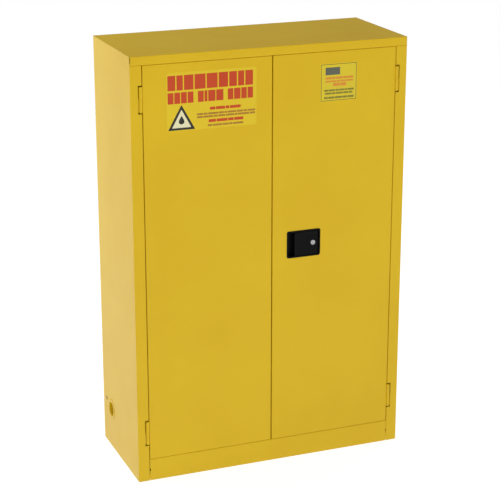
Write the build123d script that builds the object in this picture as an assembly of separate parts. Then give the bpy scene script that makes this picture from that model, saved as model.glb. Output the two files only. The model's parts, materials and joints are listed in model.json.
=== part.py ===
from build123d import *
from math import cos, radians, sin
import os

# Two-door flammable storage cabinet, millimetres.  Origin at the bottom centre of the
# box, +Z up, doors on the -Y side, left door at -X.

# ---- driving dimensions: shell ----
width, depth, height = 1092.2, 457.2, 1651.0
sheet = 1.2                                    # steel gauge, both walls
bend = 1.3                                     # inside radius of a fold
skirt_z = 2.0                                  # lower edge of the shell above the floor
front, back, side = -depth / 2, depth / 2, width / 2
stile = 44.0                                   # face width of each front stile
rail = 33.0                                    # face height of the top rail
sill_z = 89.9                                  # top of the front sill
door_gap = 2.5                                 # beside each door, at the hinge edge
end_gap = 0.8                                  # above and below each door
centre_gap = 4.0                               # between the two doors
door_depth = 38.0
stop_depth = 40.0                              # front plane to the face of the stop lip
lip = 15.0                                     # width of the stop lip
rear_flange = 18.0
corner_slit = 2.6                              # end of the top rail short of the side
bend_top_z = height - 24.0                     # top of the stile's outer bend
jamb_x = side - stile                          # inner face of the jamb
wall_x = jamb_x + sheet                        # interior face of the inner side wall
lap_y = front + 29.6                           # front edge of the inner side wall
head_z = height - rail                         # top of the door opening
inner_back_y = back - (side - wall_x)          # interior face of the inner back wall
inside_y = front + stop_depth + sheet          # interior begins behind the stop lip
bottom_z = 8.0                                 # underside of the outer bottom
bottom_flange = 20.0
sump_z = 40.4                                  # underside of the sump floor
sump_top_z = sill_z + lip
inner_low_z = 30.0                             # lower edge of the inner walls
inner_top_z = head_z + sheet                   # underside of the inner top
seam_low_z, seam_top_z, seam_deep = 42.0, 51.0, 3.0        # notch where the sill meets the jamb
over = 1.0                                     # how far a cut runs past the metal
clear = 0.1                                    # between sheets of one body that only meet

# ---- driving dimensions: spacer channels between the walls ----
channel_deep, channel_low_z, channel_top_z, channel_ys = 25.0, 60.0, 1600.0, (-110.0, 20.0)
back_bar_half, back_bar_zs = 480.0, (400.0, 900.0, 1350.0)
flat_bar_half, flat_bar_xs = 150.0, (-250.0, 225.0)

# ---- driving dimensions: doors and hinges ----
door_low_z, door_top_z = sill_z + end_gap, head_z - end_gap
door_edge_x = jamb_x - door_gap                # hinge edge of a door
meet_x = centre_gap / 2                        # meeting edge of a door
face_radius = 2.0
hinge_low_zs = (148.0, 1442.0)                 # lower end of each hinge notch
hinge_height, notch_width, notch_depth = 104.0, 15.0, 16.0
barrel_r, pin_r, running = 7.0, 3.0, 0.05
axis_x = door_edge_x + barrel_r                # hinge axis
axis_y = front + 3.0
frame_barrel, frame_barrel_r, knuckle_height = 46.0, 6.4, 46.6
leaf_thick, leaf_reach, bracket_thick, bracket_end = 2.4, 11.0, 2.5, 6.0
knuckle_gap, knuckle_bevel, pin_head_r, pin_head_thick = 0.4, 0.8, 5.0, 2.0
stiffener_x, stiffener_width, stiffener_low_z, stiffener_top_z = 330.0, 90.0, 150.0, 1560.0

# ---- driving dimensions: latch ----
latch_x, latch_z, latch_w, latch_h = 129.5, 885.0, 138.0, 107.0
latch_r, latch_flange, tub_depth, tub_wall = 8.0, 2.0, 25.0, 1.5
tub_inset, tub_corner_r = 4.5, 5.0
screw_inset, screw_r, screw_high, screw_slot = 12.0, 3.6, 1.4, 1.0
tail_window = (168.8, 186.0, 896.0, 912.0)     # x and z limits of the hole for the paddle's tail
pivot_x, pivot_y = 183.0, front + 6.6          # paddle pin
paddle_left_x, paddle_right_x, paddle_thick = 92.0, 187.5, 3.0
paddle_pin_r, paddle_play, paddle_corner_r, plate_round = 2.5, 1.5, 4.0, 0.8
boss_w, boss_h, boss_r, boss_proud = 40.0, 54.0, 8.0, 1.2
lip_thick, lip_deep = 2.2, 10.0                # finger lip on the paddle's free edge
knuckle_r, knuckle_long = 4.4, 12.0            # paddle's hinge ears
tail_half, tail_low = 1.5, 15.0                # half the tail's thickness, its foot above the hub
lock_x, lock_z, lock_ring_r, lock_body_r, plug_r = 166.8, 886.0, 9.2, 8.0, 5.6
lock_ring_proud, lock_body_long, plug_proud, plug_long = 1.8, 18.0, 1.4, 20.0
keyway_w, keyway_h, keyway_deep = 1.4, 7.0, 3.5
cam_reach, cam_half, cam_thick = 18.0, 4.0, 1.6
hub_x, hub_z, hub_thick, hub_disc_r, hub_bore_r = 170.8, 885.0, 3.0, 11.0, 5.05
hub_y = front + 26.2                           # front face of the hub plate
ear_r, ear_angle, ear_half, drive_pin_r, drive_pin_long = 26.0, 20.0, 5.0, 3.0, 7.6
lug_r, lug_half = 20.1, 2.2                    # arm that the paddle's tail pushes
pivot_head_r, pivot_head_thick, pivot_collar, pivot_long = 8.0, 1.5, 0.9, 4.5
bar_y, bar_thick, bar_width = front + 31.6, 4.0, 14.0      # middle of the flat bars
bar_play, bar_end, rod_tip, bolt_half, bolt_tip = 0.3, 8.0, 4.0, 6.0, 3.0
rod_reach = 12.5                               # bar tip past the door's edge
bolt_reach = 10.0
guide_wall, guide_front, guide_half_z = 6.0, 5.0, 10.0
guide_top_zs, guide_low_zs, guide_bolt_x = (1580.0, 1250.0), (128.0, 500.0), (30.0, 50.0)
bar_hole_x, bar_hole_y = 9.0, 4.0              # half size of the holes in the head and the sill
edge_play, strike_play = 0.5, 1.5              # round a bar in its own door and in what it locks
strike_half_x, strike_half_y, strike_thick, door_strike_deep, door_strike_half = 30.0, 9.0, 2.0, 11.8, 25.0
spring_coil_r, spring_wire_r, spring_drop, spring_long, spring_pitch = 3.9, 0.6, 33.0, 12.0, 2.0
label_thick = 0.25
hazard_limits = (-410.0, -64.0, 1368.0, 1583.0)            # x and z limits of each label
data_limits = (192.0, 339.5, 1429.0, 1571.0)

# ---- driving dimensions: inside fittings ----
standard_ys, standard_width, standard_deep, standard_wall = (-150.0, 165.0), 18.0, 9.0, 1.5
standard_low_z, standard_top_z, slot_pitch = 130.0, 1560.0, 57.15
slot_w, slot_h = 5.0, 16.0
shelf_half, shelf_front_y, shelf_back_y = 488.0, -176.0, 184.4
shelf_zs = {"lower": 590.0, "upper": 1100.0}   # top face of each shelf
shelf_edge, shelf_return, shelf_side = 30.0, 10.0, 18.0
clip_thick, clip_width, clip_height, ledge = 2.0, 16.0, 44.0, 15.0
hook_half, hook_rise, hook_drop, hook_thick = 1.6, 6.0, 9.0, 2.0
vent_y, vent_zs = 120.0, {"left": 165.0, "right": height - 165.0}
vent_mouth_r, vent_bore_r, vent_outer_r, vent_ring_r = 29.0, 26.0, 31.0, 41.0
vent_step, vent_proud, gasket_thick, plug_thick, plug_run, plug_spigot = 30.0, 1.5, 1.5, 9.0, 0.5, 10.0
plug_rim, plug_floor, plug_bar = 5.0, 2.5, 5.0
screen_ring_r, screen_ring_thick, screen_thick, screen_in = 35.0, 2.0, 1.5, 0.5
ground_y, ground_z, ground_bore_r, ground_body_r, ground_length = 184.0, 189.0, 2.55, 4.75, 14.0
ground_flange_r, ground_flange = 7.5, 1.0
foot_x, foot_y, foot_r, stud_r, nut_r, nut_height = 492.0, 180.0, 20.0, 5.0, 11.0, 15.0
pad_thick, pad_bevel, collar_r, stud_long = 4.0, 1.2, 9.0, 29.0

os.makedirs("parts", exist_ok=True)


def write(name, *solids):
    """Write one node; several solids stay separate inside it."""
    shape = solids[0] if len(solids) == 1 else Compound(children=list(solids))
    export_step(shape, f"parts/{name}.step")


def block(x0, x1, y0, y1, z0, z1):
    """A box between two corners."""
    return Pos((x0 + x1) / 2, (y0 + y1) / 2, (z0 + z1) / 2) * Box(x1 - x0, y1 - y0, z1 - z0)


def rod(radius, length, at, direction):
    """A cylinder that starts at a point and runs along a direction."""
    return Plane(origin=at, z_dir=direction) * extrude(Circle(radius), length)


def mirrored(shape):
    return mirror(shape, about=Plane.YZ)


def unit(start, end):
    return (Vector(*end) - Vector(*start)).normalized()


def folded(points, thickness=sheet):
    """Section of a folded sheet: the path is one face, the metal lies to its left."""
    ways = [unit(a, b) for a, b in zip(points, points[1:])]
    lefts = [Vector(-w.Y, w.X) for w in ways]
    offset_points = [Vector(*points[0]) + lefts[0] * thickness]
    near, far = [], []
    for corner, before, after, n0, n1 in zip(points[1:-1], ways, ways[1:], lefts, lefts[1:]):
        offset_points.append(Vector(*corner) + (n0 + n1) * (thickness / (1 + n0.dot(n1))))
        turns_left = before.X * after.Y - before.Y * after.X > 0
        near.append(bend + thickness if turns_left else bend)
        far.append(bend if turns_left else bend + thickness)
    offset_points.append(Vector(*points[-1]) + lefts[-1] * thickness)
    face_line = FilletPolyline(*points, radius=near)
    other_line = FilletPolyline(*[(p.X, p.Y) for p in offset_points], radius=far)
    ends = [Line(face_line @ 0, other_line @ 0), Line(face_line @ 1, other_line @ 1)]
    return make_face([*face_line.edges(), *other_line.edges(), *ends])


def fold_up(points, z0, z1, thickness=sheet):
    """A folded sheet with its section in XY, standing from z0 to z1."""
    return extrude(Pos(0, 0, z0) * folded(points, thickness), z1 - z0)


def fold_along(points, x0, x1, thickness=sheet):
    """A folded sheet with its section in YZ, running from x0 to x1."""
    section = Plane(origin=(x0, 0, 0), x_dir=(0, 1, 0), z_dir=(1, 0, 0)) * folded(points, thickness)
    return extrude(section, x1 - x0)


# ---- outer shell ----

def outer_side():
    """Right-hand side: stop lip, jamb, stile, side wall and rear flange in one sheet."""
    lip_y = front + stop_depth
    path = [(jamb_x - lip, lip_y), (jamb_x, lip_y), (jamb_x, front), (side, front),
            (side, back), (side - rear_flange, back)]
    shell = fold_up(path, skirt_z, height - sheet)
    inside = jamb_x - lip - over
    cuts = [
        block(inside, side - corner_slit, front - over, inside_y + over, head_z, height),
        block(side - corner_slit - over, side + over, front - over, front + sheet + bend, bend_top_z, height),
        block(inside, jamb_x, front + stop_depth - over, inside_y + over, 0, sill_z),
        block(inside, wall_x + bend + clear, front + sheet, inside_y + over, 0, inner_low_z),
    ]
    for low in hinge_low_zs:
        cuts.append(block(jamb_x - over, jamb_x + notch_width, front - over, front + notch_depth,
                          low, low + hinge_height))
    for cut in cuts:
        shell -= cut
    return shell


def vented_side(flip):
    """An outer side with its vent hole; the left one also has the ground hole."""
    name = "left" if flip else "right"
    shell = outer_side()
    hole = sheet + 2 * over
    shell -= rod(vent_outer_r, hole, (side + over, vent_y, vent_zs[name]), (-1, 0, 0))
    if flip:
        shell -= rod(ground_body_r, hole, (side + over, ground_y, ground_z), (-1, 0, 0))
        shell = mirrored(shell)
    return shell


def outer_top():
    """Top sheet with the rail, head jamb, stop lip and rear flange."""
    half = side - corner_slit
    lip_end, lip_y = jamb_x - lip - 5 * clear, front + stop_depth - bend - clear
    path = [(back, height - rear_flange), (back, height), (front, height), (front, head_z),
            (front + stop_depth, head_z), (front + stop_depth, head_z - lip)]
    top = fold_along(path, -half, half)
    for sign in (-1, 1):
        edge = side - rear_flange - over
        top -= block(*sorted((sign * edge, sign * side)), back - sheet, back + over,
                     height - rear_flange - over, height - sheet)
        top -= block(*sorted((sign * lip_end, sign * side)), lip_y, inside_y + over,
                     head_z - lip - over, head_z)
        top += block(*sorted((sign * half, sign * side)), front, back, height - sheet, height)
    return top - bar_hole(hub_x - rod_offset(), head_z)


def bar_hole(x, z):
    """Cutter for the hole that an upright bar passes through, at a sheet's underside."""
    return block(x - bar_hole_x, x + bar_hole_x, bar_y - bar_hole_y, bar_y + bar_hole_y,
                 z - over, z + sheet + over)


def rod_offset():
    """Sideways distance from the hub's axis to the middle of an upright bar."""
    return ear_r * (1 + cos(radians(ear_angle))) / 2


def bar_height(sign):
    """Height of an ear pin on the hub at rest."""
    return hub_z + sign * ear_r * sin(radians(ear_angle))


def front_sill():
    """Sill face, its top and the stop lip behind the doors."""
    half = jamb_x - over
    lip_end, lip_y = jamb_x - lip - 5 * clear, front + stop_depth - bend - clear
    path = [(front + stop_depth, sump_top_z), (front + stop_depth, sill_z), (front, sill_z),
            (front, skirt_z)]
    sill = fold_along(path, -half, half)
    for sign in (-1, 1):
        sill -= block(*sorted((sign * lip_end, sign * side)), lip_y, inside_y + over,
                      sill_z, sump_top_z + over)
        sill -= block(*sorted((sign * (half - seam_deep), sign * side)), front - over, front + sheet + over,
                      seam_low_z, seam_top_z)
    return sill - bar_hole(hub_x + rod_offset(), sill_z - sheet)


def outer_bottom():
    """Bottom sheet with turned-up edges and the four foot holes."""
    x, y0, y1 = side - sheet, front + sheet, back - 2 * sheet
    pan = block(-x, x, y0, y1, bottom_z, bottom_z + bottom_flange + sheet)
    pan = fillet(pan.edges().filter_by(Axis.Z), bend + 2 * clear)
    pan -= block(-x + sheet, x - sheet, y0 + sheet, y1 - sheet,
                 bottom_z + sheet, bottom_z + 2 * bottom_flange)
    for fx, fy in foot_places():
        pan -= Pos(fx, fy, bottom_z) * Cylinder(stud_r + over, bottom_flange)
    return pan


def foot_places():
    return [(sx * foot_x, sy * foot_y) for sx in (-1, 1) for sy in (-1, 1)]


def outer_back():
    x = side - sheet - bend
    return block(-x, x, back - 2 * sheet, back - sheet, skirt_z, height - sheet - bend)


# ---- inner shell ----

def inner_side(flip):
    name = "left" if flip else "right"
    wall = block(wall_x, wall_x + sheet, lap_y, inner_back_y + sheet, inner_low_z, inner_top_z)
    wall -= rod(vent_outer_r, sheet + 2 * over, (wall_x - over, vent_y, vent_zs[name]), (1, 0, 0))
    wall -= block(wall_x - over, wall_x + sheet + over, lap_y - over, inside_y, head_z, height)
    return mirrored(wall) if flip else wall


def sump_pan():
    """Leakproof pan in the bottom of the storage space."""
    pan = block(-wall_x, wall_x, inside_y, inner_back_y, sump_z, sump_top_z)
    return pan - block(-wall_x + sheet, wall_x - sheet, inside_y + sheet, inner_back_y - sheet,
                       sump_z + sheet, sump_top_z + over)


def channel_up(x, y, across, deep, z0, z1):
    """Upright U channel that bridges the air gap; its back faces +X."""
    outer = block(x, x + across, y - deep / 2, y + deep / 2, z0, z1)
    return outer - block(x + sheet, x + across - sheet, y - deep / 2 + sheet, y + deep, z0 - over, z1 + over)


def spacers():
    """Channels that hold the two walls apart, by wall."""
    inner, gap = wall_x + sheet, side - wall_x - 2 * sheet
    sides = [channel_up(inner, y, gap, channel_deep, channel_low_z, channel_top_z) for y in channel_ys]
    sides += [mirrored(s) for s in sides]
    y0, y1 = inner_back_y + sheet, back - 2 * sheet
    backs = []
    half = back_bar_half
    for z in back_bar_zs:
        top_z = z + channel_deep
        bar = block(-half, half, y0, y1, z, top_z)
        backs.append(bar - block(-half - over, half + over, y0 + sheet, y1 - sheet, z + sheet, top_z + over))
    flat, half = [], flat_bar_half
    for x in flat_bar_xs:
        for z0, z1 in ((inner_top_z + sheet, height - sheet), (bottom_z + sheet, sump_z)):
            bar = block(x, x + channel_deep, -half, half, z0, z1)
            flat.append(bar - block(x + sheet, x + channel_deep + over, -half - over, half + over,
                                    z0 + sheet, z1 - sheet))
    return sides, backs, flat


def shelf_standard(y):
    """Slotted channel on the right-hand inner wall."""
    y0, y1 = y - standard_width / 2, y + standard_width / 2
    strip = block(wall_x - standard_deep, wall_x, y0, y1, standard_low_z, standard_top_z)
    strip -= block(wall_x - standard_deep + standard_wall, wall_x + over, y0 + standard_wall,
                   y1 - standard_wall, standard_low_z - over, standard_top_z + over)
    slots = int((standard_top_z - standard_low_z) / slot_pitch)
    centre = (wall_x - standard_deep, y)
    for i in range(slots):
        z = standard_low_z + (i + 0.5) * slot_pitch
        strip -= Pos(*centre, z) * Box(2 * standard_wall + over, slot_w, slot_h)
    return strip


def slot_below(z):
    """Middle of the nearest slot at or below a height."""
    count = int((z - standard_low_z) / slot_pitch - 0.5)
    return standard_low_z + (count + 0.5) * slot_pitch


def shelf_clip(y, shelf_z):
    """Clip hooked in a slot of the right-hand standard, with a ledge for the shelf."""
    face = wall_x - standard_deep
    seat = shelf_z - shelf_side
    y0, y1 = y - clip_width / 2, y + clip_width / 2
    slot_z = slot_below(seat - 2 * clip_thick)
    low = min(seat - clip_height, slot_z - hook_drop - hook_thick)
    clip = block(face - clip_thick, face, y0, y1, low, seat)
    clip += block(face - ledge, face, y0, y1, seat - clip_thick, seat)
    hook_x, tip_x = face + standard_wall, face + standard_wall + hook_thick
    clip += block(face - over, tip_x, y - hook_half, y + hook_half, slot_z - hook_rise, slot_z + hook_rise)
    clip += block(hook_x, tip_x, y - hook_half, y + hook_half, slot_z - hook_drop, slot_z + hook_rise)
    return clip


def shelf(z):
    """Galvanised shelf: folded front and back edges, side flanges, shallow dished top."""
    y0, y1 = shelf_front_y, shelf_back_y
    path = [(y1 - shelf_return, z - shelf_edge), (y1, z - shelf_edge), (y1, z), (y0, z),
            (y0, z - shelf_edge), (y0 + shelf_return, z - shelf_edge)]
    tray = fold_along(path, -shelf_half, shelf_half)
    for sign in (-1, 1):
        x0, x1 = sorted((sign * shelf_half, sign * (shelf_half - sheet)))
        tray += block(x0, x1, y0 + bend + sheet, y1 - bend - sheet, z - shelf_side, z - sheet)
    return tray


# ---- vents, ground point, feet ----

def vent(name):
    """Right-hand vent parts at the height of the named side."""
    z, run = vent_zs[name], side - wall_x
    mouth = (side, vent_y, z)
    flange = rod(vent_ring_r, vent_proud, mouth, (1, 0, 0))
    flange = fillet(flange.edges().filter_by(GeomType.CIRCLE).group_by(Axis.X)[-1], vent_proud * 2 / 3)
    flange -= rod(vent_outer_r, 2 * vent_step, (side - over, vent_y, z), (1, 0, 0))
    tube = rod(vent_outer_r, run + vent_proud, (wall_x, vent_y, z), (1, 0, 0))
    tube -= rod(vent_bore_r, run + 2 * over, (wall_x - over, vent_y, z), (1, 0, 0))
    tube -= rod(vent_mouth_r, 2 * vent_step, (side - vent_step, vent_y, z), (1, 0, 0))
    screen = rod(screen_ring_r, screen_ring_thick, (wall_x - screen_ring_thick, vent_y, z), (1, 0, 0))
    screen -= rod(vent_bore_r - over, 2 * vent_step, (wall_x - vent_step, vent_y, z), (1, 0, 0))
    mesh_disc = rod(vent_bore_r, screen_thick, (wall_x + screen_in, vent_y, z), (1, 0, 0))
    gasket = rod(vent_mouth_r, gasket_thick, (side - vent_step, vent_y, z), (1, 0, 0))
    gasket -= rod(vent_bore_r, 2 * vent_step, (side - 2 * vent_step, vent_y, z), (1, 0, 0))
    seat = side - vent_step + gasket_thick
    plug = rod(vent_mouth_r - plug_run, plug_thick, (seat, vent_y, z), (1, 0, 0))
    plug -= rod(vent_mouth_r - plug_rim, plug_thick, (seat + plug_floor, vent_y, z), (1, 0, 0))
    plug += rod(vent_bore_r - plug_run, plug_spigot, (seat - plug_spigot, vent_y, z), (1, 0, 0))
    for turn in (0, 90):
        plug += Pos(seat + plug_thick / 2, vent_y, z) * Rot(turn, 0, 0) * Box(plug_thick - 2 * over,
                2 * (vent_mouth_r - plug_rim) + over, plug_bar)
    pieces = {"flange": flange, "tube": tube, "screen": screen, "mesh": mesh_disc,
              "gasket": gasket, "plug": plug}
    return {k: mirrored(v) if name == "left" else v for k, v in pieces.items()}


def ground_insert():
    """Flanged threaded insert in the left side."""
    at = (-side, ground_y, ground_z)
    insert = rod(ground_body_r, ground_length - 1, at, (1, 0, 0))
    insert += rod(ground_flange_r, ground_flange, (-side - ground_flange, ground_y, ground_z), (1, 0, 0))
    return insert - rod(ground_bore_r, 2 * ground_length, (-side - 2 * over, ground_y, ground_z), (1, 0, 0))


def foot_nut(x, y):
    hexagon = extrude(RegularPolygon(nut_r, 6), nut_height)
    return Pos(x, y, bottom_z + sheet) * (hexagon - Cylinder(stud_r + running, 4 * nut_height))


def foot(x, y):
    """Levelling foot: pad, collar and stud."""
    pad = extrude(Circle(foot_r), pad_thick)
    pad = chamfer(pad.edges().group_by(Axis.Z)[-1], pad_bevel)
    pad += Pos(0, 0, pad_thick) * extrude(RegularPolygon(collar_r, 6), bottom_z - pad_thick)
    pad += Pos(0, 0, bottom_z - over) * extrude(Circle(stud_r), stud_long)
    return Pos(x, y, 0) * pad


# ---- hinges ----

def hinge_bracket(low):
    """Right-hand frame bracket: lines the notch and carries the lower barrel on a web."""
    edge = jamb_x + notch_width
    path = [(wall_x, front + notch_depth), (edge, front + notch_depth),
            (edge, front + sheet), (side - bracket_end, front + sheet)]
    bracket = fold_up(path, low, low + hinge_height, bracket_thick)
    mid = low + hinge_height / 2
    barrel = extrude(Pos(axis_x, axis_y, mid) * Circle(frame_barrel_r), -frame_barrel)
    barrel = chamfer(barrel.edges().group_by(Axis.Z)[0], knuckle_bevel)
    barrel += block(axis_x, edge + over, axis_y + over, axis_y + frame_barrel_r, mid - frame_barrel, mid)
    return bracket + barrel - Pos(axis_x, axis_y, mid) * Cylinder(pin_r, 2 * hinge_height)


def hinge_pin(low):
    mid = low + hinge_height / 2
    shank = frame_barrel + knuckle_height - 2 * over
    low_z = mid - frame_barrel
    pin = Pos(axis_x, axis_y, low_z) * extrude(Circle(pin_r), shank)
    return pin + Pos(axis_x, axis_y, low_z) * extrude(Circle(pin_head_r), -pin_head_thick)


def door_knuckle(low):
    """Right-hand door barrel with the leaf welded to the door's edge."""
    z0 = low + hinge_height / 2 + knuckle_gap
    barrel = extrude(Pos(axis_x, axis_y, z0) * Circle(barrel_r), knuckle_height)
    barrel = chamfer(barrel.edges().group_by(Axis.Z)[-1], knuckle_bevel)
    leaf = block(door_edge_x, door_edge_x + leaf_thick, axis_y, axis_y + leaf_reach, z0, z0 + knuckle_height)
    bore = extrude(Pos(axis_x, axis_y, z0 - over) * Circle(pin_r + running), knuckle_height)
    return barrel + leaf - bore


# ---- doors, built as the right-hand door ----

def door_skin():
    """Front sheet with four returned edges."""
    size = (door_edge_x - meet_x, door_depth, door_top_z - door_low_z)
    skin = block(meet_x, door_edge_x, front, front + door_depth, door_low_z, door_top_z)
    skin = fillet(skin.faces().sort_by(Axis.Y)[0].edges(), face_radius)
    hollow = Pos(meet_x + size[0] / 2, front + sheet + size[1] / 2, (door_low_z + door_top_z) / 2)
    return skin - hollow * Box(size[0] - 2 * sheet, size[1], size[2] - 2 * sheet)


def door_inner_skin():
    y1 = front + door_depth
    return block(meet_x + sheet, door_edge_x - sheet, y1 - sheet, y1,
                 door_low_z + sheet, door_top_z - sheet)


def door_stiffener():
    """Upright hat channel inside the door."""
    y0, y1 = front + sheet, front + door_depth - sheet
    hat = block(stiffener_x, stiffener_x + stiffener_width, y0, y1, stiffener_low_z, stiffener_top_z)
    return hat - block(stiffener_x + sheet, stiffener_x + stiffener_width - sheet, y0 + sheet, y1 + over,
                       stiffener_low_z - over, stiffener_top_z + over)


def meeting_slot(play):
    """Cutter for the centre bolt's slot in a door's meeting edge."""
    reach = meet_x + sheet + face_radius
    half_y, half_z = bar_thick / 2 + play, bolt_half + play
    return block(-reach, reach, bar_y - half_y, bar_y + half_y, bolt_z() - half_z, bolt_z() + half_z)


def bolt_z():
    """Middle height of the centre bolt."""
    return hub_z - rod_offset()


def right_door_skin():
    skin = door_skin() - meeting_slot(edge_play)
    x0, x1, z0, z1 = tub_outline()
    skin -= block(x0 - bar_play, x1 + bar_play, front - over, front + sheet + over,
                  z0 - bar_play, z1 + bar_play)
    half_x, half_y = bar_width / 2 + edge_play, bar_thick / 2 + edge_play
    for x, z in ((hub_x - rod_offset(), door_top_z), (hub_x + rod_offset(), door_low_z)):
        skin -= block(x - half_x, x + half_x, bar_y - half_y, bar_y + half_y, z - 2 * over, z + 2 * over)
    return skin


# ---- latch ----

def tub_outline():
    """Outer x and z limits of the recess behind the latch's flange."""
    half_w, half_h = latch_w / 2 - tub_inset, latch_h / 2 - tub_inset
    return latch_x - half_w, latch_x + half_w, latch_z - half_h, latch_z + half_h


def upright_plate(outline, y0, thickness):
    """Extrude a sketch drawn in x and z, from y0 backwards."""
    return Plane(origin=(0, y0, 0), x_dir=(1, 0, 0), z_dir=(0, -1, 0)) * extrude(outline, -thickness)


def latch_dish():
    """Flanged recess with the finger pocket at its left."""
    x0, x1, z0, z1 = tub_outline()
    flange = upright_plate(Pos(latch_x, latch_z) * RectangleRounded(latch_w, latch_h, latch_r),
                           front - latch_flange, latch_flange)
    flange = fillet(flange.faces().sort_by(Axis.Y)[0].edges(), latch_flange / 2)
    tub = block(x0, x1, front - latch_flange / 2, front + tub_depth, z0, z1)
    mouth = RectangleRounded(x1 - x0 - 2 * tub_wall, z1 - z0 - 2 * tub_wall, tub_corner_r)
    hollow = upright_plate(Pos(latch_x, latch_z) * mouth, front - tub_corner_r,
                           tub_corner_r + tub_depth - tub_wall)
    dish = flange + tub - hollow
    x0, x1, z0, z1 = tail_window
    dish -= block(x0, x1, front + tub_depth / 2, front + tub_depth + over, z0, z1)
    return dish - Pos(pivot_x, pivot_y, latch_z) * Cylinder(paddle_pin_r, latch_h)


def paddle():
    """Pull plate with its hinge ears, finger lip, lock boss and drive tail."""
    _, _, z0, z1 = tub_outline()
    low, high = z0 + tub_wall + paddle_play, z1 - tub_wall - paddle_play
    face_y = front - latch_flange
    mid_x, mid_z = (paddle_left_x + paddle_right_x) / 2, (low + high) / 2
    face = RectangleRounded(paddle_right_x - paddle_left_x, high - low, paddle_corner_r)
    plate = upright_plate(Pos(mid_x, mid_z) * face, face_y, paddle_thick)
    plate = fillet(plate.faces().sort_by(Axis.Y)[0].edges(), plate_round)
    boss = Pos(lock_x - plate_round, lock_z) * RectangleRounded(boss_w, boss_h, boss_r)
    plate += upright_plate(boss, face_y - boss_proud, 2 * boss_proud)
    inner_y = face_y + paddle_thick - over
    plate += block(paddle_left_x, paddle_left_x + lip_thick, inner_y - over, face_y + lip_deep,
                   low + tub_corner_r, high - tub_corner_r)
    knuckle_low = hub_z + tail_low - 2 * over
    for ear_low in (low, knuckle_low, high - knuckle_long):
        plate += Pos(pivot_x, pivot_y, ear_low + knuckle_long / 2) * Cylinder(knuckle_r, knuckle_long)
        plate += block(pivot_x - knuckle_r, pivot_x + knuckle_r, inner_y, pivot_y,
                       ear_low, ear_low + knuckle_long)
    plate += block(pivot_x - tail_half, pivot_x + tail_half, inner_y, bar_y + bar_thick / 2 + edge_play,
                   hub_z + tail_low, knuckle_low + knuckle_long)
    plate -= Pos(pivot_x, pivot_y, latch_z) * Cylinder(paddle_pin_r + running, latch_h)
    return plate - rod(lock_body_r, tub_depth, (lock_x, face_y - tub_corner_r, lock_z), (0, 1, 0))


def lock_barrel():
    """Lock housing: face ring and body."""
    face_y = front - latch_flange - boss_proud
    ring = rod(lock_ring_r, lock_ring_proud, (lock_x, face_y, lock_z), (0, -1, 0))
    ring = fillet(ring.faces().sort_by(Axis.Y)[0].edges(), lock_ring_proud / 3)
    body = rod(lock_body_r, lock_body_long, (lock_x, face_y, lock_z), (0, 1, 0))
    before_y = face_y - 2 * lock_ring_proud
    bore = rod(plug_r + running, 2 * lock_body_long, (lock_x, before_y, lock_z), (0, 1, 0))
    return ring + body - bore


def lock_plug():
    """Key plug with its keyway."""
    face_y = front - latch_flange - boss_proud - plug_proud
    plug = rod(plug_r, plug_long, (lock_x, face_y, lock_z), (0, 1, 0))
    return plug - Pos(lock_x, face_y, lock_z) * Box(keyway_w, 2 * keyway_deep, keyway_h)


def lock_cam():
    """Lever on the back of the plug, lying to the left while unlocked."""
    y0 = front - latch_flange - boss_proud - plug_proud + plug_long
    lever = block(lock_x - cam_reach, lock_x, y0, y0 + cam_thick, lock_z - cam_half, lock_z + cam_half)
    return lever + rod(plug_r, cam_thick, (lock_x, y0, lock_z), (0, 1, 0))


def latch_hub():
    """Plate that turns the paddle's pull into bar travel; it turns about Y."""
    def arm(angle, length, half_width):
        reach = Pos(hub_x, hub_z) * Rot(0, 0, angle) * Pos(length / 2, 0) * Rectangle(length, 2 * half_width)
        x, z = hub_x + length * cos(radians(angle)), hub_z + length * sin(radians(angle))
        return reach + Pos(x, z) * Circle(half_width), (x, z)
    outline = Pos(hub_x, hub_z) * Circle(hub_disc_r)
    pins = []
    arms = [(turn - ear_angle, ear_r, ear_half) for turn in (180, 0, -90)]
    for angle, length, half_width in [*arms, (90 - ear_angle, lug_r, lug_half)]:
        shape, place = arm(angle, length, half_width)
        outline += shape
        pins.append(place)
    hub = upright_plate(outline, hub_y, hub_thick)
    for x, z in pins:
        hub += rod(drive_pin_r, drive_pin_long, (x, hub_y + over, z), (0, 1, 0))
    return hub - rod(hub_bore_r, drive_pin_long, (hub_x, hub_y - over, hub_z), (0, 1, 0))


def hub_pivot():
    """Shouldered stud on the back of the recess."""
    base_y = front + tub_depth
    stud = rod(pivot_head_r, pivot_collar, (hub_x, base_y, hub_z), (0, 1, 0))
    stud += rod(hub_bore_r - running, pivot_long, (hub_x, base_y, hub_z), (0, 1, 0))
    return stud + rod(pivot_head_r, pivot_head_thick, (hub_x, base_y + pivot_long, hub_z), (0, 1, 0))


def pin_slot(x, z, across):
    """Slot for an ear pin, long across the bar's travel."""
    play = drive_pin_r + bar_play
    spread = ear_r * (1 - cos(radians(ear_angle))) / 2
    reach_x, reach_z = (play + spread, play) if across == "x" else (play, play + spread)
    return block(x - reach_x, x + reach_x, bar_y - bar_thick, bar_y + bar_thick, z - reach_z, z + reach_z)


def flat_bar(x0, x1, z0, z1):
    return block(x0, x1, bar_y - bar_thick / 2, bar_y + bar_thick / 2, z0, z1)


def top_rod():
    x, pin_z = hub_x - rod_offset(), bar_height(1)
    bar = flat_bar(x - bar_width / 2, x + bar_width / 2, pin_z - bar_end, door_top_z + rod_reach)
    bar = chamfer(bar.faces().sort_by(Axis.Z)[-1].edges().filter_by(Axis.Y), rod_tip)
    return bar - pin_slot(x, pin_z, "x")


def bottom_rod():
    x, pin_z = hub_x + rod_offset(), bar_height(-1)
    bar = flat_bar(x - bar_width / 2, x + bar_width / 2, door_low_z - rod_reach, pin_z + bar_end)
    bar = chamfer(bar.faces().sort_by(Axis.Z)[0].edges().filter_by(Axis.Y), rod_tip)
    return bar - pin_slot(x, pin_z, "x")


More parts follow.
